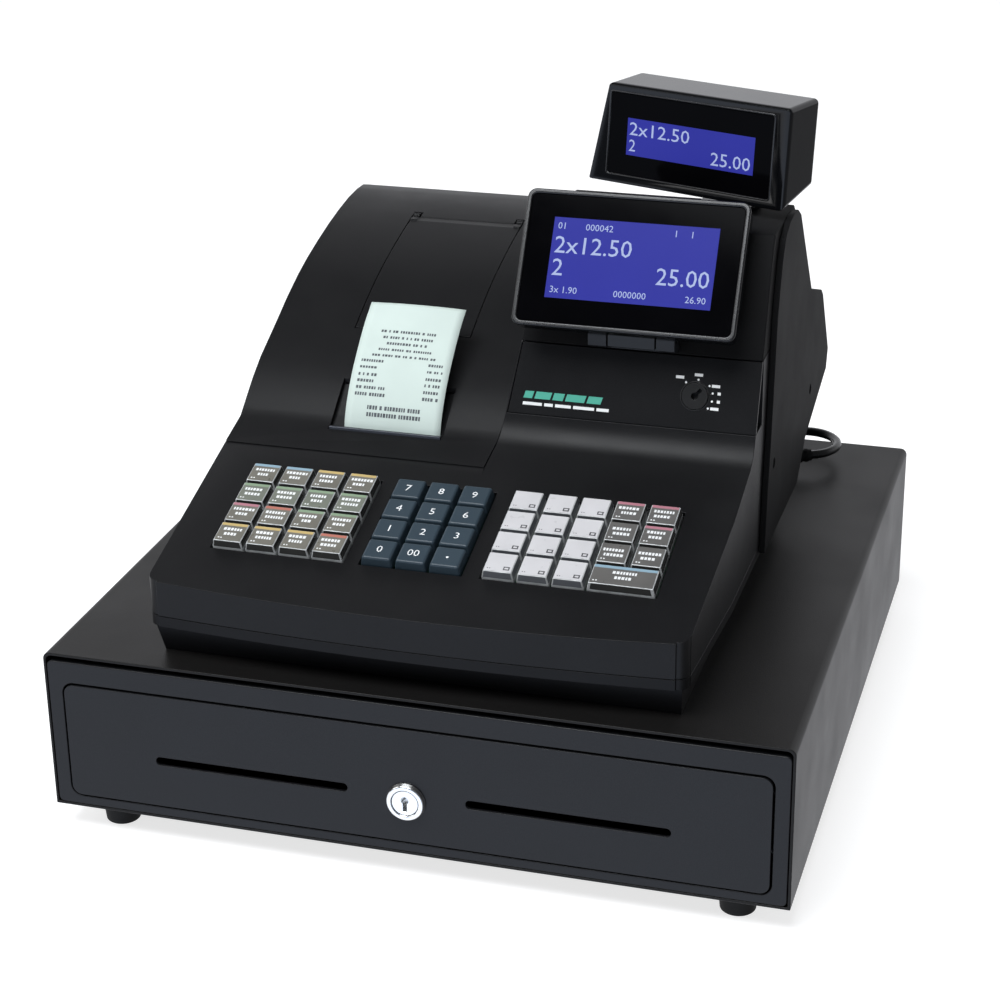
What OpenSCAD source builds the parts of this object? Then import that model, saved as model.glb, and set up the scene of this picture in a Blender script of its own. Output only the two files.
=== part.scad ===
// Electronic cash register on a steel cash drawer.
// Millimetres. +X is the operator's right, -Y faces the operator, +Z is up.
// The origin lies on the floor under the middle of the bounding box.

/* [Drawer] */
// width of the drawer case
case_w = 410; // [380:1:440]
// depth of the drawer case
case_d = 405; // [380:1:440]
// height of the drawer case without its feet
case_h = 93.5; // [80:0.5:120]
// height of the rubber feet
foot_h = 15; // [8:1:25]
// thickness of the case sheet
sheet = 1.6; // [1:0.1:3]
// radius of the folded top edges
fold_r = 4; // [2:0.5:8]

/* [Drawer front] */
// half width of the sliding front panel
front_half = 194; // [180:1:198]
// bottom of the front panel above the case bottom
front_low = 8; // [5:0.5:12]
// top of the front panel above the case bottom
front_high = 75.5; // [60:0.5:85]
// height of the two media slots
slot_h = 5; // [4.2:0.1:8]

/* [Register] */
// thickness of the moulded covers
wall = 2.5; // [1.5:0.1:4]
// slope of the keyboard deck in degrees
deck_tilt = 16.1; // [8:0.1:25]
// left face of the register
reg_left = -147; // [-160:1:-130]
// right face of the register
reg_right = 150.5; // [130:0.5:160]
// outer face of the right side cover
rib_right = 154; // [150:0.5:165]
// left face of the display tower where it meets the deck
tower_left = 6.5; // [-10:0.5:40]
// lean of the tower's left face in degrees
tower_lean = 8.1; // [0:0.1:15]

/* [Keys] */
// key pitch across the deck
pitch_x = 18.8; // [16:0.05:20]
// key pitch down the deck
pitch_s = 17.25; // [15:0.05:20]
// height of a key top above the deck
key_top = 4.6; // [4:0.1:10]
// key travel
key_travel = 3.5; // [2:0.5:4]

/* [Cord] */
// outside diameter of the mains cord
cord_d = 5.5; // [4:0.5:8]
// turns in the stored coil
coil_turns = 7.5; // [5.5:1:8.5]

/* [Preview] */
// node to show, or "all"

/* [Hidden] */
front_y = -case_d / 2;
rear_y = case_d / 2;
top_z = case_h;                    // drawer top, where the register stands
lip_z = top_z + 17.5;              // underside of the register's lip
part_z = lip_z + 6.4;              // parting line between lip and case
seam_z = 192;                      // lower seam of the switch panel
seam_high_z = 229.5;               // upper seam of the switch panel
panel_lean = 20.76;                // lean of the tower front from upright
seam_gap = 0.3;
deck_y0 = -187.8;                  // front end of the deck line
deck_z0 = 138.1;
bow_r = 1620;                      // radius of the bowed front in plan
bow_y = -196;                      // foremost point of the bow
round_n = 48;

// keyboard blocks
left_x0 = -112.3;
num_x0 = -28.15;
right_x0 = 38.4;
row_s0 = 90.2;                     // centre of the top row, measured up the deck
skirt_h = 3.6;
board_n = -12;                     // underside of the keyboard board below the deck

// displays
op_tilt = 31.4;
op_w = 124;
op_h = 76.7;
op_t = 13;
op_foot = [76.9, -50, 247.9];
op_hinge = [-33.6, 240.5];             // y, z of the tilt hinge
tab_z = 234.9;                         // lower edge of the hinge tab
cust_yaw = -18.4;
cust_tilt = 6;
cust_foot = [91, 41.5, 297.4];
cust_axis = [116.3, 47.8];         // x, y of the swivel
neck_z = 293.5;

// cash lock and front panel
lock_z = 33;
front_proud = 0.5;
lock_proud = 3;

// cord
cord_z = 105;
coil_r = 29.5;
coil_at = [-65.75, 280];
coil_low = 1;                      // underside of the coil, which lies on its tie
coil_step = cord_d + 0.1;          // pitch between turns
coil_layers = 4;
coil_w = coil_turns / coil_layers * coil_step + cord_d;
coil_h = (coil_layers - 1) * coil_step + cord_d;
coil_out = coil_r + (coil_w - cord_d) / 2;   // radius of the outermost turn

// ---------- helpers ----------

// what stands or lies on the floor; Y is drawn from the middle of the drawer case
module grounded() {
    translate([0, (lock_proud + front_proud) / 2, 0]) children();
}

// everything above the feet is drawn from the case bottom
module lifted() {
    grounded() translate([0, 0, foot_h]) children();
}

// a side outline given as [y, z], run from x0 to x1
module side_run(outline, x0, x1) {
    translate([x0, 0, 0]) rotate([90, 0, 90]) linear_extrude(height = x1 - x0) polygon(outline);
}

// the same outline shrunk by a wall thickness
module side_run_inner(outline, x0, x1, t) {
    translate([x0, 0, 0]) rotate([90, 0, 90]) linear_extrude(height = x1 - x0)
        offset(delta = -t) polygon(outline);
}

// a box from its low corner to its high corner
module span(low, high) {
    translate(low) cube(high - low);
}

// a cylinder along X between x0 and x1
module rod_x(x0, x1, y, z, r) {
    translate([x0, y, z]) rotate([0, 90, 0]) cylinder(h = x1 - x0, r = r, $fn = round_n);
}

// a cylinder along Y between y0 and y1
module rod_y(y0, y1, x, z, r) {
    translate([x, y0, z]) rotate([-90, 0, 0]) cylinder(h = y1 - y0, r = r, $fn = round_n);
}

// a rounded rectangle centred on the origin
module round_rect(w, h, r) {
    square([w - 2 * r, h], center = true);
    square([w, h - 2 * r], center = true);
    for (sx = [-1, 1], sy = [-1, 1])
        translate([sx * (w / 2 - r), sy * (h / 2 - r)]) circle(r = r, $fn = 32);
}

// a rounded rectangle standing in the XZ plane from y0 to y1
module upright_plate(x0, x1, z0, z1, r, y0, y1) {
    translate([(x0 + x1) / 2, y1, (z0 + z1) / 2]) rotate([90, 0, 0])
        linear_extrude(height = y1 - y0) round_rect(x1 - x0, z1 - z0, r);
}

function deck_z(y) = deck_z0 + (y - deck_y0) * tan(deck_tilt);

// deck frame: x across, y up the slope, z out of the deck
module on_deck() {
    translate([0, deck_y0, deck_z0]) rotate([deck_tilt, 0, 0]) children();
}

// tower front frame: origin on the panel at the height z
function panel_y(z) = -41.6 + (z - 191) * tan(panel_lean);

module on_panel(x, z) {
    translate([x, panel_y(z), z]) rotate([90 - panel_lean, 0, 0]) children();
}

// ---------- drawer, fixed parts ----------

module case_section(inset) {
    w = case_w - 2 * inset;
    r = fold_r - inset / 2;
    translate([-w / 2, inset]) square([w, case_h - 2 * inset - r]);
    translate([-w / 2 + r, inset]) square([w - 2 * r, case_h - 2 * inset]);
    for (s = [-1, 1])
        translate([s * (w / 2 - r), case_h - inset - r]) circle(r = r, $fn = 32);
}

module drawer_case() {
    color("#202124") lifted() difference() {
        translate([0, rear_y, 0]) rotate([90, 0, 0])
            linear_extrude(height = case_d) case_section(0);
        translate([0, rear_y - sheet, 0]) rotate([90, 0, 0])
            linear_extrude(height = case_d) case_section(sheet);
        rod_y(rear_y - 5, rear_y + 5, 120, 25, 8);
    }
}

module drawer_front_frame() {
    x1 = case_w / 2 - sheet - 0.4;
    z0 = sheet + 0.2;
    z1 = case_h - sheet - 3;
    gap = 1;
    color("#26272a") lifted() difference() {
        union() {
            upright_plate(-x1, x1, z0, z1, 3, front_y, front_y + 2);
            upright_plate(-x1, x1, z0, z1, 3, front_y + 1.5, front_y + 12);
        }
        upright_plate(-front_half - gap, front_half + gap, front_low - gap, front_high + gap,
            6.5, front_y - 1, front_y + 3);
        upright_plate(-x1 + 1.6, x1 - 1.6, 5.4, z1 - 1.6, 3, front_y + 2, front_y + 13);
    }
}

module drawer_feet() {
    color("#141414") grounded() for (sx = [-1, 1], y = [-183, 172])
        translate([sx * 174.5, y, 0]) cylinder(h = foot_h, r1 = 9.5, r2 = 11.2, $fn = 40);
}

slide_z = [26, 60];
slide_end = 186;

module outer_slides() {
    web_x = case_w / 2 - sheet;
    color("#9a9da0") lifted() for (s = [-1, 1]) scale([s, 1, 1]) {
        span([web_x - 1.6, front_y + 13, slide_z[0]], [web_x, slide_end, slide_z[1]]);
        span([web_x - 13, front_y + 13, slide_z[0] - 1.6], [web_x, slide_end, slide_z[0]]);
        span([web_x - 13, front_y + 13, slide_z[1]], [web_x, slide_end, slide_z[1] + 1.6]);
    }
}

module latch_unit() {
    color("#7d8286") lifted() {
        span([-26, 199.3, 8], [26, rear_y - sheet, 58]);
        span([-26, 188.5, 8], [26, 200, 9.6]);
        difference() {
            span([-14, 189, 14], [14, 199.3, 46]);
            translate([0, 194, 10]) cylinder(h = 40, r = 3.2, $fn = 32);
        }
        translate([0, 194, 10]) cylinder(h = 42, r = 2.9, $fn = 32);
    }
}

// ---------- drawer, sliding parts ----------

module media_slot(x0, x1) {
    upright_plate(x0, x1, 36 - slot_h / 2, 36 + slot_h / 2, slot_h / 2 - 0.05,
        front_y - 3, front_y + 16);
}

module drawer_front() {
    y0 = front_y - front_proud;
    color("#1f2023") lifted() difference() {
        union() {
            upright_plate(-front_half, front_half, front_low, front_high, 5.5, y0, y0 + 2);
            difference() {
                upright_plate(-front_half + 0.6, front_half - 0.6, front_low + 0.6,
                    front_high - 0.6, 5, y0 + 1, y0 + 13);
                upright_plate(-front_half + 2.2, front_half - 2.2, front_low + 2.2,
                    front_high - 2.2, 3.5, y0 + 2, y0 + 14);
            }
        }
        media_slot(-142.4, -32.7);
        media_slot(32.7, 142.4);
        rod_y(y0 - 1, y0 + 4, 0, lock_z, 9.6);
    }
}

box_half = 187;
box_front = front_y + 13;
box_rear = 185;

module drawer_box() {
    color("#8d9194") lifted() {
        difference() {
            span([-box_half, box_front, 10.5], [box_half, box_rear, 68]);
            span([-box_half + 1.4, box_front + 1.4, 11.9], [box_half - 1.4, box_rear - 1.4, 69]);
            span([-box_half - 1, box_front - 1, 26], [box_half + 1, box_front + 5, 69]);
        }
        for (s = [-1, 1]) scale([s, 1, 1]) {
            span([box_half, box_front, 38], [box_half + 7, box_rear, 48]);
            // ledge that carries the till
            span([box_half - 14, box_front + 8, 11.5], [box_half - 1, box_rear - 1,
                till_low - 0.1]);
            rod_x(box_half + 1, box_half + 12, box_rear - 16, 43, 13);
        }
    }
}

// till tray: bill compartments behind, coin cups in front
till_half = 183;
till_front = -184;
till_rear = 181;
till_low = 39;
till_high = 73;
rib_t = 3;
bill_w = (2 * till_half - 5 * rib_t) / 4;
coin_rear = -24;

function bay_x(i) = -till_half + rib_t + i * (bill_w + rib_t);

module till_tray() {
    coin_d = (coin_rear - till_front - 3 * rib_t) / 2;
    color("#151618") lifted() {
        difference() {
            union() {
                span([-till_half, till_front, till_low], [till_half, till_rear, till_high]);
                span([-till_half - 2, till_front - 2, till_high - 3],
                    [till_half + 2, till_rear + 2, till_high]);
            }
            for (i = [0:3]) {
                span([bay_x(i), coin_rear, till_low + 2.5],
                    [bay_x(i) + bill_w, till_rear - rib_t, till_high + 1]);
                for (j = [0:1]) {
                    y0 = till_front + rib_t + j * (coin_d + rib_t);
                    span([bay_x(i), y0, till_low + 19], [bay_x(i) + bill_w, y0 + coin_d,
                        till_high + 1]);
                    rod_x(bay_x(i), bay_x(i) + bill_w, y0 + coin_d / 2, till_low + 42,
                        coin_d / 2 - 0.5);
                }
            }
        }
        rod_x(-till_half + 1, till_half - 1, clip_y, clip_z, clip_pin);
    }
}

clip_y = 168;
clip_z = 68;
clip_pin = 2;
clip_len = 112;
clip_drop = 11.5;

module bill_clip(i) {
    mid = bay_x(i) + bill_w / 2;
    color("#3a3c3f") lifted() difference() {
        union() {
            rod_x(mid - 16, mid + 16, clip_y, clip_z, 4.5);
            translate([mid, clip_y, clip_z]) rotate([clip_drop, 0, 0]) {
                span([-11, -clip_len, -1.2], [11, 0, 1.2]);
                translate([0, -clip_len, 0.6]) rotate([0, 90, 0])
                    cylinder(h = 22, r = 2.6, center = true, $fn = 32);
            }
        }
        rod_x(mid - 20, mid + 20, clip_y, clip_z, clip_pin + 0.06);
    }
}

module bill_clip_1() { bill_clip(0); }
module bill_clip_2() { bill_clip(1); }
module bill_clip_3() { bill_clip(2); }
module bill_clip_4() { bill_clip(3); }

plug_r = 7.2;

module lock_bezel() {
    y0 = front_y - front_proud;
    color("#c9ccce") lifted() difference() {
        union() {
            translate([0, y0 - lock_proud, lock_z]) rotate([-90, 0, 0])
                cylinder(h = lock_proud, r1 = 10, r2 = 11.2, $fn = 64);
            rod_y(y0, y0 + 12, 0, lock_z, 9.5);
        }
        rod_y(y0 - 4, y0 + 13, 0, lock_z, plug_r + 0.3);
    }
}

module lock_plug() {
    y0 = front_y - front_proud;
    color("#b4b7ba") lifted() {
        difference() {
            rod_y(y0 - 2.4, y0 + 13.5, 0, lock_z, plug_r);
            span([-1.1, y0 - 3, lock_z - 5], [1.1, y0 + 3, lock_z + 1]);
            rod_y(y0 - 3, y0 + 3, 0, lock_z + 1.5, 2.1);
        }
        translate([0, y0 + 13.5, lock_z]) rotate([-90, 0, 0]) linear_extrude(height = 1.6) {
            circle(r = 5, $fn = 32);
            translate([-4, -13]) square([8, 13]);
        }
    }
}

// ---------- register shell ----------

module plan(inset) {
    intersection() {
        translate([0, bow_y + bow_r]) circle(r = bow_r - inset, $fn = 96);
        difference() {
            polygon([[reg_left + inset, -230], [146 - inset, -230], [146.5 - inset, -188],
                [reg_right - inset, -95], [reg_right - inset, 205], [reg_left + inset, 205]]);
            corner_cut(reg_left + inset, 1, inset);
            corner_cut(146.4 - inset, -1, inset);
        }
    }
}

// takes the sharp front corner off the plan and leaves a round one
module corner_cut(x, side, inset) {
    r = 6 - inset;
    y = -188.8 + inset;
    translate([x + side * r, y + r]) difference() {
        translate([side > 0 ? -r - 8 : 0, -r - 20]) square([r + 8, r + 20]);
        circle(r = r, $fn = 40);
    }
}

rear_slope = [[183.5, 164], [179, 153.4], [107, 134.4], [84, part_z]];

deck_outline = concat(
    [[-215, part_z], [-215, deck_z(-215)], [-73.5, deck_z(-73.5)], [184, deck_z(-73.5)]],
    rear_slope);

tower_outline = [[-80, 150], [-80, deck_z(-80)], [-53, deck_z(-53)], [-46.5, 181.6],
    [-42.6, 188.4], [panel_y(288), 288], [0, 293.2], [4, neck_z], [58, neck_z], [61, 291],
    [110, 227], [149, 213.5], [155, 208.5], [183.5, 164], [179, 153.4], [150, 150]];

hump_outline = [[-73.5, 171.5], [-50, 178], [-44.5, 182], [-38, 187], [-28, 194.2],
    [-15, 202], [0, 208.8], [14, 215.3], [30, 223], [50, 231.2], [66, 236.5], [84, 241.4],
    [104, 246.2], [124, 250], [142, 252.6], [158, 253.6], [170, 253.2], [179, 250.6],
    [184, 246], [185.5, 238], [185.5, 171.5]];

// everything to the right of the tower's leaning left face
module lean_side(inset) {
    translate([tower_left + inset, 0, 173.5]) rotate([0, tower_lean, 0])
        translate([0, -300, -200]) cube([300, 600, 400]);
}

module tower_solid(inset) {
    intersection() {
        side_run_inner(tower_outline, -20, 170, inset);
        lean_side(inset);
    }
}

module case_solid(inset) {
    translate([0, 0, part_z - 1]) linear_extrude(height = 200) plan(inset);
}

module block_hole(x0, cols, rows_from, rows_to) {
    s_top = row_s0 - rows_from * pitch_s + pitch_s / 2 + 0.4;
    s_low = row_s0 - rows_to * pitch_s - pitch_s / 2 - 0.4;
    on_deck() span([x0 - pitch_x / 2 - 0.3, s_low, -6],
        [x0 + (cols - 0.5) * pitch_x + 0.3, s_top, 6]);
}

module upper_case() {
    color("#222326") lifted() {
        difference() {
            intersection() {
                case_solid(0);
                union() {
                    side_run(deck_outline, -160, 160);
                    intersection() {
                        tower_solid(0);
                        span([-160, -120, 100], [160, 200, seam_high_z]);
                    }
                }
            }
            intersection() {
                translate([0, 0, -wall]) case_solid(wall);
                union() {
                    side_run_inner(deck_outline, -160, 160, wall);
                    tower_solid(wall);
                    span([-160, -180, 90], [160, 84, part_z + 4]);
                    side_run([[80, part_z + 3], [84, part_z - 1], [107, 133.4], [179, 152.4],
                        [182, 160], [178, 165], [80, 150]], -160, 160);
                }
            }
            // opening under the printer cover
            span([reg_left + 6, -60, 160], [tower_left - 3, 178, 176]);
            // recess for the switch panel
            intersection() {
                span([-10, -60, seam_z], [reg_right + 2, panel_y(seam_high_z) + 3.2,
                    seam_high_z + 1]);
                lean_side(0.9);
            }
            block_hole(left_x0, 4, 0, 3);
            block_hole(num_x0, 3, 0, 3);
            block_hole(right_x0, 5, 0, 3);
        }
        // posts that carry the keyboard board
        on_deck() for (x = [-128, -42, 24, 129.5], s = [32, 84])
            translate([x, s, board_n + 1.6]) cylinder(h = -board_n - 3.6, r = 2.6, $fn = 32);
    }
}

module tower_cover() {
    color("#242528") lifted() intersection() {
        case_solid(0);
        difference() {
            tower_solid(0);
            intersection() {
                case_solid(wall);
                tower_solid(wall);
            }
            span([-160, -220, 0], [200, 220, seam_high_z + seam_gap]);
        }
    }
}

side_outline = [[-21, 113.5], [-17.5, 148], [-12, 180], [-4.5, 245], [0, 261], [5.5, 276],
    [13, 287.5], [25, 293], [37, neck_z + 0.5], [52, neck_z - 1], [62, 287], [110, 227.4],
    [149, 214], [155.5, 209], [185, 164], [180.5, 152], [108, 133], [88.5, 117.5],
    [84, 113.5]];

module side_cover() {
    x0 = reg_right + 0.15;
    color("#2a2b2e") lifted() difference() {
        side_run(side_outline, x0, rib_right);
        for (x = [-1, 1]) rod_x(rib_right - 0.8, rib_right + 1, 60 + 60 * x, 160, 3);
    }
}

module switch_panel() {
    z0 = seam_z + seam_gap;
    z1 = seam_high_z - 0.1;
    color("#1c1d20") lifted() difference() {
        intersection() {
            side_run([[panel_y(z0), z0], [panel_y(z1), z1], [panel_y(z1) + 2.8, z1],
                [panel_y(z0) + 2.8, z0]], -10, reg_right - 0.1);
            lean_side(1.2);
        }
        on_panel(switch_x, switch_z) translate([0, 0, -10]) cylinder(h = 20, r = 7.6,
            $fn = 48);
    }
}

switch_x = 115.1;
switch_z = 209.4;

module key_switch() {
    color("#3b3c3e") lifted() on_panel(switch_x, switch_z) difference() {
        union() {
            translate([0, 0, -18]) cylinder(h = 19, r = 7.3, $fn = 48);
            translate([0, 0, -24]) cylinder(h = 7, r = 4, $fn = 32);
        }
        rotate([0, 0, -40]) span([-0.9, -1, -3], [0.9, 5, 2]);
        translate([0, 0, -3]) cylinder(h = 5, r = 2, $fn = 32);
    }
}

module printer_cover() {
    color("#232427") lifted() difference() {
        side_run(hump_outline, reg_left, 40);
        lean_side(-seam_gap);
        difference() {
            union() {
                side_run_inner(hump_outline, reg_left + wall, 40, wall);
                span([reg_left + wall, -56, 160], [40, 183, 174]);
            }
            lean_side(-seam_gap - wall);
        }
        // throat where the receipt comes out
        span([throat_x[0], -54, 160], [throat_x[1], -24, 210]);
        // opening under the paper door
        span([door_x[0], door_y[0], 200], [door_x[1], door_y[1], 260]);
        for (x = [door_x[0] - 0.2, door_x[1] - 5.4])
            span([x, door_y[1] - 6, 245.5], [x + 5.6, door_y[1] + 6.5, 260]);
        rod_x(door_x[0] - 3.8, door_x[0] + 1, door_pivot[0], door_pivot[1], door_pin + 0.06);
        rod_x(door_x[1] - 1, door_x[1] + 3.8, door_pivot[0], door_pivot[1], door_pin + 0.06);
    }
}

throat_x = [-92, -25];
door_x = [-98, -27];
door_y = [12, 122];
door_pivot = [125, 248.9];
door_pin = 0.9;
door_reach = 117.6;                // pivot to the door's front edge, which is cut round it

module paper_door() {
    color("#232427") lifted() {
        intersection() {
            difference() {
                side_run(hump_outline, door_x[0] + 0.4, door_x[1] - 0.4);
                side_run_inner(hump_outline, door_x[0] - 1, door_x[1] + 1, wall);
            }
            span([-110, door_y[0], 205], [0, door_y[1] - 0.4, 260]);
            rod_x(-110, 0, door_pivot[0], door_pivot[1], door_reach);
        }
        for (x = [door_x[0] + 0.4, door_x[1] - 4.4]) {
            span([x, door_y[1] - 5, door_pivot[1] - 2], [x + 4, door_pivot[0],
                door_pivot[1] + 0.6]);
            rod_x(x, x + 4, door_pivot[0], door_pivot[1], 2);
        }
        rod_x(door_x[0] - 3.4, door_x[0] + 1, door_pivot[0], door_pivot[1], door_pin);
        rod_x(door_x[1] - 1, door_x[1] + 3.4, door_pivot[0], door_pivot[1], door_pin);
    }
}

paper_x = [-84.5, -27];
paper_line = [[-50, 150], [-49, 172], [-47, 181], [-43, 189.5], [-36, 199.5],
    [-27.6, 208.7], [-17.5, 217.8], [-6.5, 226.8], [5.2, 234.3]];
paper_t = 0.35;

module receipt_paper() {
    last = len(paper_line) - 1;
    back = [for (i = [last:-1:0]) [paper_line[i][0] + paper_t, paper_line[i][1] - paper_t]];
    color("#f3f1ea") lifted() side_run(concat(paper_line, back), paper_x[0], paper_x[1]);
}

roll_at = [68, 194];
roll_r = 33;
spindle_r = 6;

module printer_mechanism() {
    color("#6c7074") lifted() {
        difference() {
            span([-96, -46, 132], [-21, -22, 176.5]);
            rod_x(-90, -27, -46, 170, 7);
        }
        span([-91.6, -53.8, 132], [-25.4, -51.8, 178.4]);
        for (x = [-100, -21]) difference() {
            side_run([[-54, part_z - 2], [78, part_z - 2], [108, 142], [108, 150], [84, 205],
                [52, 205], [20, 178], [-54, 172]], x, x + 4);
            rod_x(x - 1, x + 5, roll_at[0], roll_at[1], spindle_r + 0.06);
        }
        span([-96, -54, part_z - 2], [-21, 76, part_z + 1]);
        rod_x(-93, -24, -42, 168, 5.5);
    }
}

module paper_roll() {
    color("#efede6") lifted() {
        difference() {
            rod_x(-90, -31, roll_at[0], roll_at[1], roll_r);
            rod_x(-91, -30, roll_at[0], roll_at[1], spindle_r - 0.5);
        }
        rod_x(-99.5, -17.5, roll_at[0], roll_at[1], spindle_r);
    }
}

module base_pan() {
    color("#1b1c1e") lifted() {
        difference() {
            translate([0, 0, lip_z]) linear_extrude(height = part_z - lip_z - 0.3) plan(0);
            translate([0, 0, lip_z + wall]) linear_extrude(height = 20) plan(wall);
            span([-200, 84, 100], [200, 300, 140]);
        }
        intersection() {
            side_run([[83, lip_z], [85, lip_z], [107, 130.2], [178, 149], [178, 151.8],
                [107, 133], [83, lip_z + wall]], -160, 160);
            translate([0, 0, 100]) linear_extrude(height = 60) plan(0);
        }
        difference() {
            pedestal(0);
            pedestal(3);
        }
    }
}

module pedestal(inset) {
    hull() {
        span([-142 + inset, -181.4 + inset, top_z + 0.05 - inset],
            [142 - inset, 80 - inset, top_z + 1]);
        span([-143.5 + inset, -187 + inset, lip_z - 1], [143.5 - inset, 82 - inset,
            lip_z + 0.2]);
    }
}

module keyboard_board() {
    color("#1f4a2f") lifted() on_deck() difference() {
        span([-132, 24, board_n], [133, 100, board_n + 1.6]);
        for (x = [-86, -8, 88]) translate([x, 96, board_n - 1]) cylinder(h = 4, r = 1.7,
            $fn = 32);
    }
}

// ---------- keys ----------

module key_cap(x, s, w) {
    base = [w - 1.4, pitch_s - 1.1];
    top = [w - 3.3, pitch_s - 2.2];
    translate([x, s, 0]) {
        translate([-base[0] / 2, -base[1] / 2, -skirt_h])
            cube([base[0], base[1], skirt_h + 0.2]);
        linear_extrude(height = key_top, scale = [top[0] / base[0], top[1] / base[1]])
            square(base, center = true);
        translate([-2.5, -2.5, -6.2]) cube([5, 5, 4]);
    }
}

function row_s(r) = row_s0 - r * pitch_s;

module key_at(x0, col, row) {
    lifted() on_deck() key_cap(x0 + col * pitch_x, row_s(row), pitch_x);
}

module number_key(col, row) {
    color("#3d4b5e") key_at(num_x0, col, row);
}

module number_key_7() { number_key(0, 0); }
module number_key_8() { number_key(1, 0); }
module number_key_9() { number_key(2, 0); }
module number_key_4() { number_key(0, 1); }
module number_key_5() { number_key(1, 1); }
module number_key_6() { number_key(2, 1); }
module number_key_1() { number_key(0, 2); }
module number_key_2() { number_key(1, 2); }
module number_key_3() { number_key(2, 2); }
module number_key_0() { number_key(0, 3); }
module number_key_00() { number_key(1, 3); }
module number_key_point() { number_key(2, 3); }

module left_keys_row(row) {
    color("#8f8d78") for (col = [0:3]) key_at(left_x0, col, row);
}

module left_keys_row_1() { left_keys_row(0); }
module left_keys_row_2() { left_keys_row(1); }
module left_keys_row_3() { left_keys_row(2); }
module left_keys_row_4() { left_keys_row(3); }

module white_keys_column(col) {
    color("#dfe1e2") for (row = [0:3]) key_at(right_x0, col, row);
}

module white_keys_column_1() { white_keys_column(0); }
module white_keys_column_2() { white_keys_column(1); }
module white_keys_column_3() { white_keys_column(2); }

module function_keys_column(col) {
    color("#8a8378") for (row = [0:2]) key_at(right_x0, col, row);
}

module function_keys_column_1() { function_keys_column(3); }
module function_keys_column_2() { function_keys_column(4); }

module tender_key() {
    color("#8a8378") lifted() on_deck()
        key_cap(right_x0 + 3.5 * pitch_x, row_s(3), 2 * pitch_x);
}

// ---------- operator display ----------

// display frame: x across, y up the face, z out towards the operator
module on_operator_display() {
    translate(op_foot) rotate([90 - op_tilt, 0, 0]) children();
}

module display_bracket() {
    y1 = panel_y(230) - 0.1;
    color("#55595d") lifted() difference() {
        union() {
            side_run([[y1 - 2.2, 231.2], [panel_y(231.2) - 0.1, 231.2],
                [panel_y(234.5) - 0.1, 234.5], [y1 - 2.2, 233.3]], 55.5, 104);
            for (x = [55.5, 93.6]) {
                rod_x(x, x + 10.4, op_hinge[0], op_hinge[1], 4.4);
                side_run([[-38, op_hinge[1]], [-38, tab_z], [-29.1, 231.4], [-27, 231.4],
                    [-27, 234.5], [-29.2, op_hinge[1]]], x, x + 10.4);
            }
        }
        rod_x(50, 106, op_hinge[0], op_hinge[1], 2.06);
    }
}

module operator_display_housing() {
    color("#1c1d20") lifted() {
        on_operator_display() difference() {
            translate([0, op_h / 2, -op_t]) linear_extrude(height = op_t - 3.05)
                round_rect(op_w - 1.6, op_h - 1.6, 4);
            translate([0, op_h / 2, -6.5]) linear_extrude(height = 6)
                round_rect(op_w - 12, op_h - 12, 2);
        }
        rod_x(66.5, 93, op_hinge[0], op_hinge[1], 4.4);
        side_run([[-38, 240.5], [-38, tab_z], [-31, tab_z], [-29.4, 241], [-27.2, 256],
            [-31.5, 258.5], [-37.5, 247]], 66.5, 93);
        rod_x(56, 103.5, op_hinge[0], op_hinge[1], 2);
    }
}

module operator_display_bezel() {
    color("#26272a") lifted() on_operator_display() difference() {
        translate([0, op_h / 2, -3]) linear_extrude(height = 3) round_rect(op_w, op_h, 5);
        translate([0, op_h / 2, -4]) linear_extrude(height = 5)
            round_rect(op_w - 5.6, op_h - 5.6, 3);
    }
}

module operator_display_glass() {
    color("#0b0c10") lifted() on_operator_display()
        translate([0, op_h / 2, -2.9]) linear_extrude(height = 2)
            round_rect(op_w - 5.8, op_h - 5.8, 2.9);
}

// ---------- customer display ----------

// display frame: x across, y up the face, z out towards the viewer
module on_customer_display() {
    translate(cust_foot) rotate([0, 0, cust_yaw]) rotate([90 - cust_tilt, 0, 0]) children();
}

cust_glass_w = 104.4;
cust_glass_h = 46;
cust_depth = 33.5;

module customer_display_neck() {
    z = neck_z + 0.05;
    color("#1a1b1d") lifted() translate([cust_axis[0], cust_axis[1], z]) {
        cylinder(h = 3, r = 17, $fn = 64);
        cylinder(h = 14.5, r = 8, $fn = 64);
    }
}

module customer_display_housing() {
    color("#191a1c") lifted() difference() {
        on_customer_display() difference() {
            translate([0, 0, -cust_depth]) linear_extrude(height = cust_depth)
                polygon([[-65.4, 0], [62.3, 0], [62.3, 64], [-53.5, 64]]);
            // the top is nearly level
            translate([-80, 58.5, 0]) rotate([4.6, 0, 0]) translate([0, 0, -60])
                cube([160, 20, 70]);
            // the underside rises towards the back
            translate([-80, 2, 0]) rotate([18, 0, 0]) translate([0, -20, -60])
                cube([160, 20, 70]);
            translate([-cust_glass_w / 2 - 0.2, 7.3, -2.4])
                cube([cust_glass_w + 0.4, cust_glass_h + 0.4, 10]);
        }
        // room for the neck
        translate([cust_axis[0], cust_axis[1], 280]) cylinder(h = neck_z + 15 - 280,
            r = 8.3, $fn = 64);
    }
}

module customer_display_glass() {
    color("#08090c") lifted() on_customer_display()
        translate([-cust_glass_w / 2, 7.5, -2.3]) cube([cust_glass_w, cust_glass_h, 1.8]);
}

// ---------- mains cord ----------

relief_at = [127, 138];            // foot of the relief
relief_len = 27;
relief_yaw = 25;                   // turned towards the back
relief_out = [cos(relief_yaw), sin(relief_yaw)];
exit_at = relief_at + relief_len * relief_out;

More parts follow.
